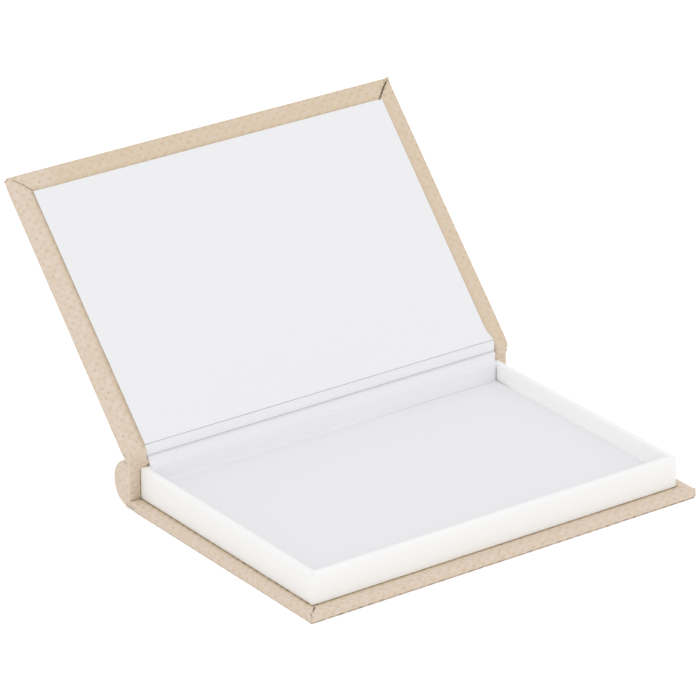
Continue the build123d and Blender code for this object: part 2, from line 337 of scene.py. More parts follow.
def finishPiece(name, bm, material, thickness):
    # millimetres to metres, a smooth-shaded object at the origin, and the sheet's thickness inwards
    bmesh.ops.scale(bm, vec=(0.001, 0.001, 0.001), verts=bm.verts)
    mesh = bpy.data.meshes.new(name)
    bm.to_mesh(mesh)
    bm.free()
    for polygon in mesh.polygons:
        polygon.use_smooth = True
    piece = bpy.data.objects.new(name, mesh)
    bpy.context.scene.collection.objects.link(piece)
    mesh.materials.append(material)
    skin = piece.modifiers.new("thickness", "SOLIDIFY")
    skin.thickness = thickness / 1000
    skin.offset = -1.0
    shading = piece.modifiers.new("shading", "WEIGHTED_NORMAL")
    shading.weight = 90
    return piece


def steps(start, stop, pitch):
    # evenly spaced values from start to stop, both included, about pitch apart
    count = max(1, round(abs(stop - start) / pitch))
    return [mixed(start, stop, i / count) for i in range(count + 1)]


def rimSteps(radius, count):
    # a quarter round: how far along, and how far in, from the face's edge to its flat
    turns = [pi / 2 * i / count for i in range(count + 1)]
    return [(radius * (1 - cos(t)), radius * (1 - sin(t))) for t in turns]


# Covering: one sheet round both boards, the spine and the joint

case = {
    "skin": 0.45,
    "turnIn": 15.0,
    "spineTurnIn": 10.0,
    "boardRim": 0.3,        # how round the covering lies over the boards' edges
    "spineRim": 0.35,
    "jointRim": 0.25,
    "rimReach": 0.6,
    "rimSteps": 4,
    "ends": ((-0.1, 0.15), (0.55, -0.3), (0.55, 0.3), (0.75, 0.27)),  # left and right ends of the bottom, spine,
                                                                      # joint and lid, beyond the boards' skins
    "nearReach": (1.3, 1.8, 2.6, 3.3, 3.8, 4.2, 4.6, 5.2, 5.7, 6.4, 7.3, 7.8, 8.3, 10.0, 12.0),  # loops near each end
    "pitchAlong": 4.0,       # spacing of the mesh along the spine
    "pitchAcross": 5.0,      # and over the boards
    "riseLength": 5.0,       # the bottom board's underside lifts towards the spine
    "rise": 0.4,
    "grooveDepth": 0.55,     # where the spine's strip meets the bottom board
    "grooveReach": 0.45,
    "stripLow": 4.35,        # the spine's flat strip
    "stripHigh": 18.9,
    "spineRungs": 52,
    "firstSpineAngle": -93.0,
    "lastSpineAngle": 65.5,
    "run": 1.8,              # the lid's covering runs on past its board, in the same plane,
    "valley": (1.04, -0.60),  # and tucks down into a valley beside the spine, given from the hinge
    "tuckDepth": 0.4,        # how far the ends are drawn in there
    "innerJoint": ((-1.3, -0.85), (-0.5, -0.3), (-0.26, 0.38), (-0.31, 1.28), (-0.21, 2.38)),
    "bulge": (0.35, 1.1, 1.5, 1.65, 1.15),  # past the liner the joint's inside swells forward
    "bulgeStart": (81.4, 84.4),
    "endLift": 0.6,          # the spine's ends are drawn up underneath
    "edgeInset": 0.26,       # width of the darker line round the end faces
    "press": 0.9,            # the lid's left front corner is pressed thinner
    "lowEdgeShadeHeights": (0.55, 0.9),         # heights of the loops along the bottom board's lower edge; painted contact shadow lies below the first
    "footGroove": 0.2,      # depth of the line pressed round the tray's foot
    # mm over which painted shade fades away from the tray and the liners
    "paintedShadeReach": 2.4,
    "pleatPitch": 1.3,
    "pleatDepth": 0.32,
    "wave": 0.10,
    "waveSize": 16.0,
    "slitStart": 1.0,
    "slitLift": 0.12,
    "slits": {"bottomLeft": (0.10, 1.0, 0.5), "bottomRight": (0.04, 0.10, 0.0), "lidLeft": (0.09, 0.28, 0.3),
              "lidRight": (0.22, 0.45, 1.0)},  # half widths near the corner and at the inner end, and how dark the painted shade in the slit is
    "tip": 0.8,             # how far the folded covering stands out at the lid's right corner
}

spineRadius = (spineHigh.z - spineLow.z) / 2
spineAxisZ = (spineHigh.z + spineLow.z) / 2
spineAxisY = spineHigh.y - spineRadius
spineFaceY = bottomHigh.y
coverHalf = bottomHigh.x
coverThick = bottomHigh.z
placeBottom, placeSpine, placeJoint, placeLid = 0, 1, 2, 3


def spinePoint(angle):
    return spineAxisY + spineRadius * cos(angle), spineAxisZ + spineRadius * sin(angle)


def caseRungs():
    # the case in section, as (outer point, inner point, place, rim radius), from fore edge to fore edge
    c = case
    rungs = []

    def board(outer, inner, place):
        rungs.append((outer, inner, place, c["boardRim"]))

    for along, inset in rimSteps(c["boardRim"], c["rimSteps"]):
        y = bottomLow.y + along
        board((y, inset), (y, coverThick - inset), placeBottom)
    flatStart, turnEnd = bottomLow.y + c["boardRim"], bottomLow.y + c["turnIn"]
    footRungs = [wrapLow.y + step for step in (-2.6, -1.7, -1.0, -0.55, -0.15, 0.4)]
    flat = [flatStart + 0.8, flatStart + 2.0] + footRungs + steps(footRungs[-1], turnEnd, 2.5)[1:]
    for y in flat + steps(turnEnd, spineFaceY - c["riseLength"], c["pitchAcross"])[1:]:
        board((y, 0.0), (y, coverThick), placeBottom)
    for share in (0.5, 0.85):
        y = mixed(spineFaceY - c["riseLength"], spineFaceY - c["grooveReach"], share)
        board((y, c["rise"] * share * 0.9), (y, coverThick), placeBottom)
    y = spineFaceY - c["grooveReach"]
    board((y, c["rise"] * 0.9), (y, coverThick - 0.05), placeBottom)

    first, last = radians(c["firstSpineAngle"]), radians(c["lastSpineAngle"])
    groove = (spineFaceY + 0.05, coverThick - c["grooveDepth"])
    rungs.append((spinePoint(first), groove, placeSpine, c["spineRim"]))
    for i in range(c["spineRungs"] + 1):
        outer = spinePoint(mixed(first, last, (i + 1) / (c["spineRungs"] + 1)))
        inner = (spineFaceY, mixed(c["stripLow"], c["stripHigh"], i / c["spineRungs"]))
        rungs.append((outer, inner, placeSpine, c["spineRim"]))

    # off the spine's top, down into the valley, and out along the plane of the lid
    top = spinePoint(last)
    rearOuter = opened(lidHigh.y, lidHigh.z)
    rearInner = opened(lidHigh.y, lidLow.z)
    run = opened(lidHigh.y + c["run"], lidHigh.z)
    valley = (hinge.y + c["valley"][0], hinge.z + c["valley"][1])
    outers = (
        (mixed(top[0], valley[0], 0.45), mixed(top[1], valley[1], 0.35)),
        valley,
        (mixed(valley[0], run[0], 0.3), mixed(valley[1], run[1], 0.55)),
        run,
        (mixed(run[0], rearOuter[0], 0.5), mixed(run[1], rearOuter[1], 0.5)),
    )
    for outer, (innerY, innerZ), rim in zip(outers, c["innerJoint"], (1, 1 + c["tuckDepth"] / c["jointRim"], 2, 1, 1)):
        rungs.append((outer, (hinge.y + innerY, hinge.z + innerZ), placeJoint, c["jointRim"] * rim))
    board(rearOuter, rearInner, placeLid)
    lidTurnEnd, lidFlatStart = lidLow.y + c["turnIn"], lidLow.y + c["boardRim"]
    edgeRungs = [lidLinerLow.y + step for step in (0.5, -0.1, -0.5, -1.0, -1.8, -3.0)]
    flat = steps(lidHigh.y, lidTurnEnd, c["pitchAcross"])[1:] + steps(lidTurnEnd, edgeRungs[0], 2.5)[1:-1]
    for y in flat + edgeRungs + steps(edgeRungs[-1], lidFlatStart, 2.0)[1:-1]:
        board(opened(y, lidHigh.z), opened(y, lidLow.z), placeLid)
    for along, inset in reversed(rimSteps(c["boardRim"], c["rimSteps"])):
        y = lidLow.y + along
        board(opened(y, lidHigh.z - inset), opened(y, lidLow.z + inset), placeLid)
    return rungs


def inwardNormals(loop):
    # for each point of a closed section, the way into the board, a little longer at corners
    normals = []
    for i, point in enumerate(loop):
        before = (point - loop[i - 1]).normalized()
        after = (loop[(i + 1) % len(loop)] - point).normalized()
        across = Vector((-(before.y + after.y), before.x + after.x))
        if across.length < 0.2:
            normals.append(Vector((0, 0)))
            continue
        across.normalize()
        square = max(across.dot(Vector((-before.y, before.x))), 0.75)
        normals.append(across / square)
    return normals


def spreadSlit(bm, corner, side, turn, shape, facesOf):
    # a mitre slit: the turn-ins are cut on the diagonal of a corner, stand apart and lift a little; the cut edges carry
    # painted shade
    c = case
    slitShadeLayer = bm.verts.layers.float["slit"]
    back = turn.inverted()
    direction = Vector((-side, 1, 0)).normalized()
    normal = Vector((-direction.y, direction.x, 0))
    up = Vector((0, 0, 1)) if turn == Matrix.Identity(4) else Vector((0, 0, -1))
    faces = facesOf(corner, side, back)
    geom = faces + list({e for f in faces for e in f.edges}) + list({v for f in faces for v in f.verts})
    cut = bmesh.ops.bisect_plane(bm, geom=geom, dist=1e-4, plane_co=turn @ corner,
                                 plane_no=turn.to_3x3() @ normal)["geom_cut"]
    slit = [e for e in cut if isinstance(e, bmesh.types.BMEdge) and len(e.link_faces) == 2
            and min(((back @ v.co) - corner).length for v in e.verts) > c["slitStart"]]
    parted = bmesh.ops.split_edges(bm, edges=slit)["edges"]
    for vert in {v for e in parted for v in e.verts if v.link_faces}:
        flat = back @ vert.co
        reach = (flat - corner).length
        if reach < c["slitStart"] + 0.05:
            continue
        centre = sum((back @ f.calc_center_median() for f in vert.link_faces), Vector()) / len(vert.link_faces)
        lean = 1 if (centre - corner).dot(normal) > 0 else -1
        share = smoothShare(reach, c["slitStart"], c["turnIn"])
        width = mixed(shape[0], shape[1], share) * smoothShare(reach, c["slitStart"], c["slitStart"] + 1.5)
        vert[slitShadeLayer] = shape[2]
        vert.co = turn @ (flat + normal * width * lean + up * c["slitLift"] * smoothShare(reach, 1.0, 5.0))
    return len(slit)


def makeCaseCovering():
    c = case
    bm = bmesh.new()
    layers = bm.verts.layers
    alongLayer, innerLayer = layers.float.new("along"), layers.float.new("inner")
    placeLayer, rimLayer = layers.float.new("place"), layers.float.new("rim")
    bulgeLayer, inwardLayer = layers.float.new("bulge"), layers.float_vector.new("inward")
    paintedShadeLayer, creviceShadeLayer = layers.float.new("paintedShade"), layers.float.new("creviceShade")
    edgeLayer, slitShadeLayer = layers.float.new("edge"), layers.float.new("slit")
    rungs = caseRungs()
    rows = growStrip(bm, [[(-coverHalf, *outer), (-coverHalf, *inner)] for outer, inner, _, _ in rungs])
    for line in (0, 1):
        run = 40.0 * line
        for i, row in enumerate(rows):
            run += (row[line].co - rows[max(i - 1, 0)][line].co).length
            row[line][alongLayer] = run
            row[line][innerLayer] = line
            row[line][placeLayer] = rungs[i][2]
            row[line][rimLayer] = rungs[i][3]
    loop = [row[0] for row in rows] + [row[1] for row in reversed(rows)]
    for vert, normal in zip(loop, inwardNormals([v.co.yz for v in loop])):
        vert[inwardLayer] = (0, normal.x, normal.y)
    jointRows = [row for row in rows if row[0][placeLayer] == placeJoint]
    for row, bulge in zip(jointRows, c["bulge"]):
        row[1][bulgeLayer] = bulge

    # the section drawn out along the spine, with closer loops near its ends
    made = bmesh.ops.extrude_face_region(bm, geom=list(bm.faces))["geom"]
    bmesh.ops.translate(bm, vec=(2 * coverHalf, 0, 0), verts=[e for e in made if isinstance(e, bmesh.types.BMVert)])
    flatHalf = coverHalf - c["rimReach"]
    near = [flatHalf + c["rimReach"] * sin(pi / 2 * i / c["rimSteps"]) for i in range(c["rimSteps"])]
    near += [coverHalf - reach for reach in (*c["nearReach"], c["turnIn"])]
    middle = steps(-coverHalf + c["turnIn"], coverHalf - c["turnIn"], c["pitchAlong"])[1:-1]
    cutAcross(bm, 0, sorted(middle + near + [-x for x in near]))
    cutAcross(bm, 2, c["lowEdgeShadeHeights"])
    ends = [f for f in bm.faces if abs(abs(f.calc_center_median().x) - coverHalf) < 0.01
            and all(abs(v[placeLayer] - placeJoint) > 0.5 for v in f.verts)]
    borders = {v for f in ends for v in f.verts}
    for vert in borders:
        vert[edgeLayer] = 1
    bmesh.ops.inset_region(bm, faces=ends, thickness=c["edgeInset"], use_even_offset=True, use_boundary=True)
    for vert in {v for f in ends for v in f.verts}:
        vert[edgeLayer] = 2
    bmesh.ops.recalc_face_normals(bm, faces=bm.faces)

    # the inner faces stay open where the tray, the liner and the infill card lie
    def isInner(face):
        return min(v[innerLayer] for v in face.verts) > 0.5

    hidden = []
    for face in bm.faces:
        centre = face.calc_center_median()
        place = sum(v[placeLayer] for v in face.verts) / len(face.verts)
        if place < 0.01:
            covered = centre.y > bottomLow.y + c["turnIn"] and abs(centre.x) < coverHalf - c["turnIn"]
        elif place > 2.99:
            covered = (lidReturn @ centre).y > lidLow.y + c["turnIn"] and abs(centre.x) < coverHalf - c["turnIn"]
        else:
            covered = abs(centre.x) < coverHalf - c["spineTurnIn"]
        if covered and isInner(face):
            hidden.append(face)
    bmesh.ops.delete(bm, geom=hidden, context="FACES")

    def flapFaces(corner, side, back):
        found = []
        for face in bm.faces:
            centre = back @ face.calc_center_median()
            nearCorner = side * centre.x > coverHalf - c["turnIn"] and centre.y < corner.y + c["turnIn"]
            if isInner(face) and nearCorner and abs(centre.z - corner.z) < 1:
                found.append(face)
        return found

    # rims round off towards the ends
    for vert in bm.verts:
        share = max(0, (abs(vert.co.x) - flatHalf) / c["rimReach"])
        depth = vert[rimLayer] * (1 - sqrt(max(0, 1 - share * share)))
        vert.co += vert[inwardLayer] * depth
    for name, side, low, level, turn in (
        ("bottomLeft", -1, bottomLow, coverThick, Matrix.Identity(4)),
        ("bottomRight", 1, bottomLow, coverThick, Matrix.Identity(4)),
        ("lidLeft", -1, lidLow, lidLow.z, lidTurn),
        ("lidRight", 1, lidLow, lidLow.z, lidTurn),
    ):
        corner = Vector((side * coverHalf, low.y, level))
        count = spreadSlit(bm, corner, side, turn, c["slits"][name], flapFaces)
        print("mitre slit", name, "over", count, "edges")

    # how far a point of an inner face lies from the tray or from a liner; the painted shade below fades with it
    def outside(x, y, halfX, lowY):
        overX, overY = abs(x) - halfX, lowY - y
        return sqrt(overX * overX + overY * overY) if overX > 0 and overY > 0 else max(overX, overY)

    # pleats where the covering is drawn over the spine's ends, and slow waves along the rims
    tipCorner = lidTurn @ Vector((coverHalf, lidLow.y, lidLow.z))
    tipWay = (lidTurn.to_3x3() @ Vector((1, -1, -0.3))).normalized()
    pressCorner = lidTurn @ Vector((-coverHalf, lidLow.y, lidHigh.z))
    pressWay = lidTurn.to_3x3() @ Vector((0, 0, -1))
    for vert in bm.verts:
        x, y, z = vert.co
        place = round(vert[placeLayer])
        fromEnd = coverHalf - abs(x)
        inner = vert[innerLayer] > 0.5
        fadeOut = smoothShare(fromEnd, 0.0, 1.5)
        if inner and place == placeBottom:
            gap = outside(x, y, wrapHigh.x, wrapLow.y)
            vert.co.z -= c["footGroove"] * (1 - smoothShare(abs(gap - 0.3), 0.15, 0.7))
            # painted shade beside the tray's foot, and a painted shadow line in the groove round it
            vert[paintedShadeLayer] = 0.75 * (1 - smoothShare(gap, -0.5, c["paintedShadeReach"] + 0.5)) * fadeOut
            vert[creviceShadeLayer] = (0.74 if x < -wrapHigh.x else 0.66) * (1 - smoothShare(abs(gap - 0.35), 0.1, 0.75))
            # painted shade down the groove at the spine
            if y > spineFaceY - c["grooveReach"] - 0.05:
                vert[creviceShadeLayer] = 0.25
        elif inner and place == placeSpine:
            across = wrapHigh.x + 4.6 - abs(x)
            # painted shade over the spine's strip, deeper towards the tray, and darker painted shade beside the tray's
            # wall below its top
            vert[paintedShadeLayer] = (0.06 + 0.2 * smoothShare(across, 1.0, 4.6)) * fadeOut
            vert[creviceShadeLayer] = 1.0 * smoothShare(across, 3.9, 4.9) * (1 - smoothShare(z, wrapHigh.z - 1, wrapHigh.z))
            wander = 1.8 * noise.noise((0, z / 3, 5 * x / coverHalf))
            slope = mixed(0.25, 0.05, smoothShare(z, coverThick, wrapHigh.z))
            pleat = 0.5 + 0.5 * sin(2 * pi * (z - slope * fromEnd) / c["pleatPitch"] + wander)
            fade = smoothShare(fromEnd, 0.1, 1.4) * smoothShare(z, coverThick, coverThick + 1.2)
            fade *= max(smoothShare(abs(x), wrapHigh.x, wrapHigh.x + 0.5), smoothShare(z, wrapHigh.z, wrapHigh.z + 0.6))
            vert.co.y -= c["pleatDepth"] * pleat * fade
            # painted shade in the pleats' valleys
            vert[creviceShadeLayer] += 0.12 * (1 - pleat) * fade
            # painted shade in the hollow left of the liner, above the wall
            if x < 0 and z > wrapHigh.z:
                vert[creviceShadeLayer] += 0.9 * (1 - smoothShare(z, wrapHigh.z + 0.5, wrapHigh.z + 1.5)) * smoothShare(
                    -x, 81.0, 81.5) * (1 - smoothShare(-x, 82.0, 82.9))
            # painted shade low on the spine, at the groove by the bottom board
            if z < coverThick:
                vert[creviceShadeLayer] = 1.3 * smoothShare(fromEnd, 0.0, 1.5)
        elif inner and place == placeJoint:
            start = c["bulgeStart"][x > 0]
            vert.co.y -= vert[bulgeLayer] * smoothShare(abs(x), start, start + 1)
            # painted shade over the joint's inside, and a painted shadow line where its bulge starts
            vert[paintedShadeLayer] = 0.2 * fadeOut
            vert[creviceShadeLayer] = (0.2 if x > 0 else 0.5) * (1 - smoothShare(abs(abs(x) - start - 0.2), 0.2, 0.6))
        elif inner:
            # on the lid's inside: a flat darker tone over all but its left end, painted shade near the liner's edges,
            # and a painted shadow line just off them, strongest at the lifted left edge
            gap = outside(x, (lidReturn @ vert.co).y, lidLinerHigh.x, lidLinerLow.y)
            tan = 0.3 * smoothShare(x, 12 - coverHalf, 22 - coverHalf)
            vert[paintedShadeLayer] = tan + (0.45 - 0.5 * tan) * (1 - smoothShare(gap, -0.3, c["paintedShadeReach"])) * fadeOut
            vert[creviceShadeLayer] = (0.55 if x < -lidLinerHigh.x else 0.22) * (1 - smoothShare(abs(gap - 0.2), 0.15, 0.8))
        # painted contact shadow along the bottom board's lower outer edges
        elif place == placeBottom:
            isEdge = fromEnd < c["rimReach"] or y < bottomLow.y + c["boardRim"] + 0.1
            vert[creviceShadeLayer] = 0.7 if isEdge and z < c["lowEdgeShadeHeights"][0] + 0.1 else 0.0
        # painted shade in the slits
        vert[creviceShadeLayer] = max(vert[creviceShadeLayer], vert[slitShadeLayer])
        # the end faces' inset middles carry no dark; their outer borders carry a darker line, fainter near the left
        # front of the bottom board
        if vert[edgeLayer] > 1.5:
            vert[creviceShadeLayer] = 0
        elif vert[edgeLayer] > 0.5 and place != placeJoint and y > bottomLow.y + 1.2:
            vert[creviceShadeLayer] = max(vert[creviceShadeLayer], 0.0 if inner else 0.4)
        elif vert[edgeLayer] > 0.5 and place == placeBottom and x < 0:
            vert[creviceShadeLayer] = 0.3
        if place in (placeBottom, placeSpine) and not inner:
            under = 1 - smoothShare(z, 1.0, 3.0)
            drawn = smoothShare(abs(x), coverHalf - 2.6, coverHalf - 0.3)
            vert.co.z += c["endLift"] * under * drawn * smoothShare(y, 50.5, spineFaceY)
        if place != placeJoint:
            drift = noise.noise_vector((x / c["waveSize"], y / c["waveSize"], z / c["waveSize"]))
            vert.co.x += c["wave"] * drift.x * smoothShare(abs(x), coverHalf - 3.5, coverHalf - 1)
        side = 1 if x > 0 else -1
        vert.co.x += side * c["ends"][place][x > 0] * smoothShare(abs(x), coverHalf - 3.5, coverHalf - 1)
        near = (vert.co - tipCorner).length
        vert.co += tipWay * c["tip"] * max(0, 1 - near / 2.2) ** 2
        if not inner:
            vert.co += pressWay * c["press"] * max(0, 1 - (vert.co - pressCorner).length / 6) ** 2

    # places on the sheet in millimetres, which the embossing follows
    sheet = bm.loops.layers.uv.new("sheetMm")
    for face in bm.faces:
        isEnd = abs(face.normal.x) > 0.8
        isMixed = 0.01 < sum(v[innerLayer] for v in face.verts) / len(face.verts) < 0.99
        inLid = face.verts[0][placeLayer] > 2.5
        for loopCorner in face.loops:
            co = loopCorner.vert.co
            if isEnd:
                loopCorner[sheet].uv = (co.y, co.z)
            elif isMixed:
                loopCorner[sheet].uv = (co.x, (lidReturn @ co).z if inLid else co.z)
            else:
                loopCorner[sheet].uv = (co.x, loopCorner.vert[alongLayer])
    piece = finishPiece("caseCovering", bm, coveringMaterial, c["skin"])
    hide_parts("bottom_cover", "spine_cover", "lid_cover", "joint_cloth")
    valley = Vector((0, hinge.y + c["valley"][0], hinge.z + c["valley"][1]))
    toLid = Vector((0, 0.4, 0.92)) * 1.15
    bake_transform(piece, "base", "lid", start=valley / 1000, end=(valley + toLid) / 1000)
    return piece


caseCovering = makeCaseCovering()
print("covering made:", len(caseCovering.data.polygons), "faces")


# Tray: white paper round the four walls

tray = {
    "paper": 0.22,
    "wall": 2.6,
    "cornerRadius": 0.4,
    "innerRadius": 0.25,
    "outerRim": 1.0,
    "innerRim": 0.5,
    "foot": 0.12,         # the paper turns under the walls, which leaves a dark line
    "floorTurn": 1.6,     # and inside it turns in over the floor board
    "nick": 0.3,          # a nick at the near corner, where the folded paper parts
    "rimSteps": 4,
    "cornerSteps": 4,
    "wave": 0.05,
    "waveSize": 24.0,
    "pitch": 3.0,
}


def trayRing(inset, z):
    # a rounded rectangle of points, inset from the walls' outside
    t = tray
    halfX, halfY = wrapHigh.x - inset, wrapHigh.y - inset
    radius = max(t["cornerRadius"] - inset, t["innerRadius"])
    middleX, middleY = halfX - radius, halfY - radius
    ring = []
    for turn, long, sides in ((0, middleY, (1, 1)), (1, middleX, (-1, 1)), (2, middleY, (-1, -1)), (3, middleX, (1, -1))):
        centre = Vector((middleX * sides[0], middleY * sides[1]))
        for i in range(t["cornerSteps"] + 1):
            angle = pi / 2 * (turn + i / t["cornerSteps"])
            ring.append((centre.x + radius * cos(angle), centre.y + radius * sin(angle), z))
        nextLong = middleX if turn % 2 == 0 else middleY
        base = wrapHigh.x - t["cornerRadius"] if turn % 2 == 0 else wrapHigh.y - t["cornerRadius"]
        count = round(2 * base / t["pitch"])
        startX, startY, _ = ring[-1]
        for i in range(1, count):
            run = 2 * nextLong * i / count
            ring.append((startX - run, startY, z) if turn == 0 else (startX, startY - run, z) if turn == 1
                        else (startX + run, startY, z) if turn == 2 else (startX, startY + run, z))
    return ring


def makeTrayWrap():
    t = tray
    low, high, floorZ = wrapLow.z, wrapHigh.z, linerLow.z
    profile = [(t["foot"], low), (t["foot"] * 0.3, low + t["foot"] * 0.5), (0, low + t["foot"] * 1.2)]
    profile += [(0, z) for z in steps(low + 1.5, high - t["outerRim"], 2.8)[:-1]]
    profile += [(inset, high - along) for inset, along in rimSteps(t["outerRim"], t["rimSteps"])]
    profile += [(t["wall"] - inset, high - along) for inset, along in reversed(rimSteps(t["innerRim"], t["rimSteps"]))]
    profile += [(t["wall"], z) for z in steps(high - t["innerRim"], floorZ + 0.3, 2.2)[1:]]
    profile += [(t["wall"] + 0.1, floorZ + 0.04), (t["wall"] + t["floorTurn"], floorZ + 0.03)]
    bm = bmesh.new()
    growStrip(bm, [trayRing(inset, z) for inset, z in profile], closed=True)
    cutAcross(bm, 0, (1.0 - wrapHigh.x, wrapHigh.x - t["wall"] - 0.8))
    cutAcross(bm, 1, (1.0 - wrapHigh.y, wrapHigh.y - t["wall"] - 0.8))
    creaseShadeLayer = bm.verts.layers.float.new("creaseShade")
    nearCorner = Vector((-wrapHigh.x, -wrapHigh.y, high))
    # the rim is sharper on the right wall, and sharpest at the rear corners, where the paper is folded
    for vert in bm.verts:
        x, y, z = vert.co
        overX, overY, drop = wrapHigh.x - abs(x), wrapHigh.y - abs(y), high - z
        if drop < t["outerRim"] and min(overX, overY) < t["outerRim"] + 0.01:
            rear = smoothShare(y, 51.5, 54.0) * smoothShare(abs(x), 81.5, 84.0)
            right = smoothShare(x, wrapHigh.x - 2.4, wrapHigh.x - 1.0) * (1 - rear)
            keep = 1 - 0.62 * rear - 0.42 * right
            if overX < t["outerRim"] + 0.01:
                vert.co.x = (wrapHigh.x - overX * keep) * (1 if x > 0 else -1)
            if overY < t["outerRim"] + 0.01 and y > 0:
                vert.co.y = wrapHigh.y - overY * keep
            vert.co.z = high - drop * keep
        # painted shade in the rear right inner corner and along the right wall's foot inside, near the rear
        inCorner = x > wrapHigh.x - t["wall"] - 0.3 and y > wrapHigh.y - t["wall"] - 0.3
        inside = abs(overX - t["wall"]) < 0.12 and y > 42 and x > 0 and z < floorZ + 0.2
        if inCorner and min(overX, overY) > t["wall"] - 0.15 and z < high - t["innerRim"] or inside:
            vert[creaseShadeLayer] = 0.65
    for vert in bm.verts:
        away = (vert.co - nearCorner).length
        if away < 1.0:
            deep = 1 - away
            vert.co += Vector((0.5, 0.5, -1)) * t["nick"] * deep
            # painted shade in the nick
            vert[creaseShadeLayer] = 0.9 * smoothShare(deep, 0.2, 0.6)
    bmesh.ops.recalc_face_normals(bm, faces=bm.faces)
    outside = max(bm.faces, key=lambda f: f.calc_center_median().x)
    if outside.normal.x < 0:
        bmesh.ops.reverse_faces(bm, faces=bm.faces)
    for vert in bm.verts:
        x, y, z = vert.co
        drift = noise.noise_vector((x / t["waveSize"], y / t["waveSize"], z / t["waveSize"]))
        if y < wrapHigh.y - 1.5:
            vert.co += Vector((drift.x, drift.y, drift.z * 0.4)) * t["wave"]
    piece = finishPiece("trayWrap", bm, wrapMaterial, t["paper"])
    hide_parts("tray_wrap")
    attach(piece, "base")
    return piece


trayWrap = makeTrayWrap()
print("tray wrap made")


# Liners: one sheet from the tray's floor over the rear wall and the fold, and one on the lid

liner = {
    "paper": 0.15,
    "tightFold": 0.3,       # the fold at the foot of the rear wall, near the ends
    "slackFold": 1.3,       # and in the middle, where the sheet bows
    "overWall": 0.28,       # how far the paper stands off the rear wall's top
    "sideGap": 0.02,
    "cornerGap": 0.9,       # at the rear right corner it misses the wall
    "cornerLift": 0.3,
    "reach": ((16.3, 82.88, 82.7), (17.3, 81.5, 83.7), (20.4, 82.0, 84.2), (24.4, 82.35, 84.3)),
    "band": ((54.9, 16.92), (55.6, 17.0), (55.76, 18.5)),  # the hollow band above the wall
    "lipLow": (55.86, 19.9),
    "pinch": (57.0, 20.32),   # the crease at the top of the spine
    "lipHigh": (56.66, 20.64),
    "foldGap": 0.02,        # between the sheet's end and the lid's own liner
    "foldGapMore": 0.05,
    "stripBow": 0.1,
    "pitch": 3.0,
    "lidPitch": 6.0,
    "lidEdges": ((-82.8, 83.3), (-82.25, 82.9)),  # left and right edges of the lid's liner, at its front and rear
    "flare": 1.5,           # the lid liner widens to the right at its hinge end
    "flareLength": 5.0,
    "edgeLift": 0.26,       # the lid liner's left edge has come unstuck a little
    "edgeLiftReach": 4.0,
}


def arcPoints(centre, radius, start, end, count):
    angles = [radians(mixed(start, end, i / count)) for i in range(count + 1)]
    return [(centre[0] + radius * cos(a), centre[1] + radius * sin(a)) for a in angles]


def curvePoints(points, count):
    # a quadratic curve from the first to the last of three points, without its first point
    (ay, az), (by, bz), (cy, cz) = points
    shares = [i / count for i in range(1, count + 1)]
    return [((1 - s) ** 2 * ay + 2 * s * (1 - s) * by + s * s * cy,
             (1 - s) ** 2 * az + 2 * s * (1 - s) * bz + s * s * cz) for s in shares]


def linerSection(x):
    # the sheet's upper face in section at x, as (y, z, how dark the painted crease shade is):
    # floor, rear wall, over it, a hollow band, the pinched crease, and up to the lid
    l = liner
    slack = 1 - smoothShare(x, 5, 70)
    floorZ = linerLow.z + l["paper"]
    wallY = wrapHigh.y - tray["wall"] - l["paper"]
    topZ = wrapHigh.z + l["overWall"]
    fold = mixed(l["tightFold"], l["slackFold"], slack)
    path = [(y, floorZ, 0) for y in steps(linerLow.y, wallY - 3.0, 6.0)]
    path += [(wallY - fold - 0.5, floorZ, 0)]
    # painted shade in the fold at the foot of the rear wall, fainter where the sheet bows
    for i, (y, z) in enumerate(arcPoints((wallY - fold, floorZ + fold), fold, -90, 0, 5)):
        path.append((y, z, (0.1, 0.6, 0.5, 0.25, 0, 0)[i] * mixed(0.8, 0.1, slack)))
    path += [(wallY, z, 0) for z in steps(floorZ + l["slackFold"] + 0.2, topZ - 0.5, 1.5)[:-1]]
    path += [(y, z, 0) for y, z in arcPoints((wallY + 0.35, topZ - 0.35), 0.35, 180, 90, 5)]
    path += [(y, z, 0) for y, z in [l["band"][0]] + curvePoints(l["band"], 7)]
    end = lidTurn @ Vector((0, lidLinerHigh.y + l["foldGap"], lidLinerLow.z))
    corner = lidTurn @ Vector((0, lidHigh.y, lidLow.z - l["paper"]))
    # painted shade in the pinched crease
    path += [(*l["lipLow"], 0.0), (*l["pinch"], 0.4), (*l["lipHigh"], 0.0)]
    for i in range(1, 7):
        s = i / 6
        bow = l["stripBow"] * sin(pi * s)
        path.append((mixed(l["lipHigh"][0], corner.y, s) - bow, mixed(l["lipHigh"][1], corner.z, s), 0))
    # painted shadow in the gap before the lid's liner
    path.append((mixed(corner.y, end.y, 0.9), mixed(corner.z, end.z, 0.9), 0.1))
    path.append((end.y, end.z, 0.9))
    return path


def linerReach(y, z):
    # how far the sheet reaches to the left and to the right at a point of its section
    l = liner
    inTray = wrapHigh.x - tray["wall"] - l["sideGap"]
    levels = l["reach"]
    if z < levels[0][0]:
        onWall = smoothShare(z, linerHigh.z - 7, levels[0][0])
        corner = inTray - smoothShare(y, 41, 52) * l["cornerGap"]
        return inTray, mixed(corner, levels[0][2], onWall) if y > 50 else corner
    for (lowZ, lowLeft, lowRight), (highZ, highLeft, highRight) in zip(levels, levels[1:]):
        if z <= highZ or highZ == levels[-1][0]:
            share = min((z - lowZ) / (highZ - lowZ), 1)
            if share < 1 or highZ == levels[-1][0]:
                return mixed(lowLeft, highLeft, share), mixed(lowRight, highRight, share)
    return levels[-1][1:]


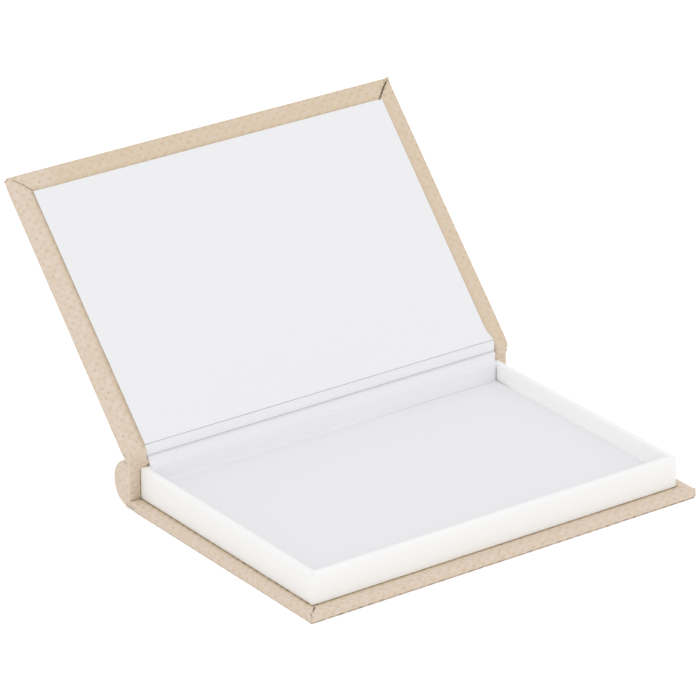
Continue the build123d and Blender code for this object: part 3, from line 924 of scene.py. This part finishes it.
def makeTrayLiner():
    l = liner
    middle = linerSection(0)
    reaches = [linerReach(y, z) for y, z, _ in middle]
    half = lidLinerHigh.x
    offsets = [0, 0.4, 1.0, 1.9]
    shares = [o / (2 * half) for o in offsets] + steps(3 / (2 * half), 1 - 3 / (2 * half), l["pitch"] / (2 * half))
    shares += [1 - o / (2 * half) for o in reversed(offsets)]
    lines, creaseShades = [], []
    for i, (left, right) in enumerate(reaches):
        spots = [(mixed(-left, right, share), linerSection(mixed(-half, half, share))[i]) for share in shares]
        lines.append([(x, y, z) for x, (y, z, _) in spots])
        creaseShades.append([dark for _, (_, _, dark) in spots])
    bm = bmesh.new()
    creaseShadeLayer = bm.verts.layers.float.new("creaseShade")
    rows = growStrip(bm, lines)
    for row, darks in zip(rows, creaseShades):
        for vert, dark in zip(row, darks):
            vert[creaseShadeLayer] = dark
    bmesh.ops.recalc_face_normals(bm, faces=bm.faces)
    floorFace = min(bm.faces, key=lambda f: f.calc_center_median().y)
    if floorFace.normal.z < 0:
        bmesh.ops.reverse_faces(bm, faces=bm.faces)
    for vert in rows[-1]:
        more = l["foldGapMore"] * max(0, noise.noise((vert.co.x / 25, 3.0, 0)))
        vert.co += lidTurn.to_3x3() @ Vector((0, more, 0))
    for vert in bm.verts:
        x, y, z = vert.co
        if z < linerHigh.z - 5 and x > 0:
            vert.co.z += l["cornerLift"] * smoothShare(y, 42, 50) * smoothShare(x, half - 2.5, half - 0.8)
    piece = finishPiece("foldedLiner", bm, linerMaterial, l["paper"])
    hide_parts("tray_liner", "joint_liner")
    corner = lidTurn @ Vector((0, lidHigh.y, lidLow.z - l["paper"]))
    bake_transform(piece, "base", "lid", start=Vector((0, *l["pinch"])) / 1000, end=corner / 1000)
    return piece


def makeLidLiner():
    l = liner
    (leftFront, rightFront), (leftRear, rightRear) = l["lidEdges"]
    lines = []
    for y in steps(lidLinerLow.y, lidLinerHigh.y - 0.4, l["lidPitch"] / 2) + [lidLinerHigh.y]:
        back = (y - lidLinerLow.y) / (lidLinerHigh.y - lidLinerLow.y)
        flare = l["flare"] * smoothShare(y, lidLinerHigh.y - l["flareLength"], lidLinerHigh.y)
        left, right = mixed(leftFront, leftRear, back), mixed(rightFront, rightRear, back) + flare
        line = []
        for x in [left, left + 0.6, left + 1.5, left + 2.6] + steps(left + l["edgeLiftReach"], right, l["lidPitch"]):
            unstuck = 1 - smoothShare(x, left, left + l["edgeLiftReach"])
            lift = l["edgeLift"] * unstuck * (0.75 + 0.5 * noise.noise((0, y / 12, 0)))
            line.append(lidTurn @ Vector((x, y, lidLinerLow.z - lift)))
        lines.append(line)
    bm = bmesh.new()
    creaseShadeLayer = bm.verts.layers.float.new("creaseShade")
    # painted shadow along the lid liner's rear edge, at the gap to the folded liner
    for vert in growStrip(bm, lines)[-1]:
        vert[creaseShadeLayer] = 0.9
    bmesh.ops.recalc_face_normals(bm, faces=bm.faces)
    if (lidReturn.to_3x3() @ next(iter(bm.faces)).normal).z > 0:
        bmesh.ops.reverse_faces(bm, faces=bm.faces)
    piece = finishPiece("lidLiner", bm, linerMaterial, l["paper"])
    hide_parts("lid_liner")
    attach(piece, "lid")
    return piece


foldedLiner = makeTrayLiner()
lidLiner = makeLidLiner()
print("liners made")

for node in frame["nodes"]:
    if frame["nodes"][node].data.materials and node not in (
        "bottom_cover", "spine_cover", "lid_cover", "joint_cloth", "tray_wrap", "tray_liner", "joint_liner",
        "lid_liner",
    ):
        frame["nodes"][node].data.materials.clear()
        frame["nodes"][node].data.materials.append(boardMaterial)


# Floor, light and camera

studio = {
    "floorSize": 6.0,
    "floorColour": "#F8F8F8",
    "skyStrength": 0.945,
    "keyStrength": 4.6,
    "keySize": 1.6,
    "keyPlace": (0.4, -2.3, 0.6),
    "fillStrength": 3.6,
    "fillPlace": (-2.3, -0.3, 0.6),
    "floorGlow": 0.35,
}


def seenDirectly(tree):
    # 1 for rays that come from the camera, or from it by a mirror or through glass
    rays = addNode(tree, "LightPath")
    mirror = addNode(tree, "Math", {0: rays.outputs["Is Camera Ray"], 1: rays.outputs["Is Glossy Ray"]},
                     operation="MAXIMUM")
    glass = addNode(tree, "Math", {0: mirror.outputs[0], 1: rays.outputs["Is Transmission Ray"]},
                    operation="MAXIMUM")
    return glass.outputs[0]


def makeStudio():
    s = studio
    bm = bmesh.new()
    bmesh.ops.create_grid(bm, x_segments=1, y_segments=1, size=s["floorSize"] / 2)
    mesh = bpy.data.meshes.new("floor")
    bm.to_mesh(mesh)
    bm.free()
    floor = bpy.data.objects.new("floor", mesh)
    bpy.context.scene.collection.objects.link(floor)
    material, tree, shader = newMaterial("paperSweep")
    tree.nodes.remove(shader)
    output = tree.nodes["Material Output"]
    lit = addNode(tree, "BsdfDiffuse", {"Color": hexColour(s["floorColour"])})
    white = addNode(tree, "BsdfDiffuse", {"Color": (1, 1, 1, 1)})
    glow = addNode(tree, "Emission", {"Color": (1, 1, 1, 1), "Strength": s["floorGlow"]})
    shown = addNode(tree, "AddShader", {0: white.outputs[0], 1: glow.outputs[0]})
    mix = addNode(tree, "MixShader", {0: seenDirectly(tree), 1: lit.outputs[0], 2: shown.outputs[0]})
    tree.links.new(mix.outputs[0], output.inputs["Surface"])
    mesh.materials.append(material)

    world = bpy.data.worlds.new("studio")
    world.use_nodes = True
    tree = world.node_tree
    light = tree.nodes["Background"]
    light.inputs["Color"].default_value = (1, 1, 1, 1)
    light.inputs["Strength"].default_value = s["skyStrength"]
    back = addNode(tree, "Background", {"Color": (1, 1, 1, 1), "Strength": 1.0})
    mix = addNode(tree, "MixShader", {0: seenDirectly(tree), 1: light.outputs[0], 2: back.outputs[0]})
    tree.links.new(mix.outputs[0], tree.nodes["World Output"].inputs["Surface"])
    bpy.context.scene.world = world

    target = Vector((0, 0, 0.03))
    for name in ("key", "fill"):
        lamp = bpy.data.lights.new(name, "AREA")
        lamp.shape = "SQUARE"
        lamp.size = s["keySize"]
        lamp.energy = s[name + "Strength"]
        holder = bpy.data.objects.new(name, lamp)
        bpy.context.scene.collection.objects.link(holder)
        holder.location = s[name + "Place"]
        holder.rotation_mode = "QUATERNION"
        holder.rotation_quaternion = (Vector(s[name + "Place"]) - target).to_track_quat("Z", "Y")


viewpoint = {
    "place": (-1.0795, -1.4441, 0.8692),
    "azimuth": -36.063,
    "elevation": 24.085,
    "lens": 269.6,
    "sensor": 36.0,
}


def makeCamera():
    v = viewpoint
    camera = bpy.data.cameras.new("camera")
    camera.lens = v["lens"]
    camera.sensor_width = v["sensor"]
    camera.sensor_fit = "HORIZONTAL"
    camera.clip_start, camera.clip_end = 0.1, 20
    holder = bpy.data.objects.new("camera", camera)
    bpy.context.scene.collection.objects.link(holder)
    a, e = radians(v["azimuth"]), radians(v["elevation"])
    back = Vector((sin(a) * cos(e), -cos(a) * cos(e), sin(e)))
    holder.location = v["place"]
    holder.rotation_mode = "QUATERNION"
    holder.rotation_quaternion = back.to_track_quat("Z", "Y")
    bpy.context.scene.camera = holder


makeStudio()
makeCamera()
bpy.context.scene.view_settings.view_transform = "Standard"
print("floor, light and camera set")
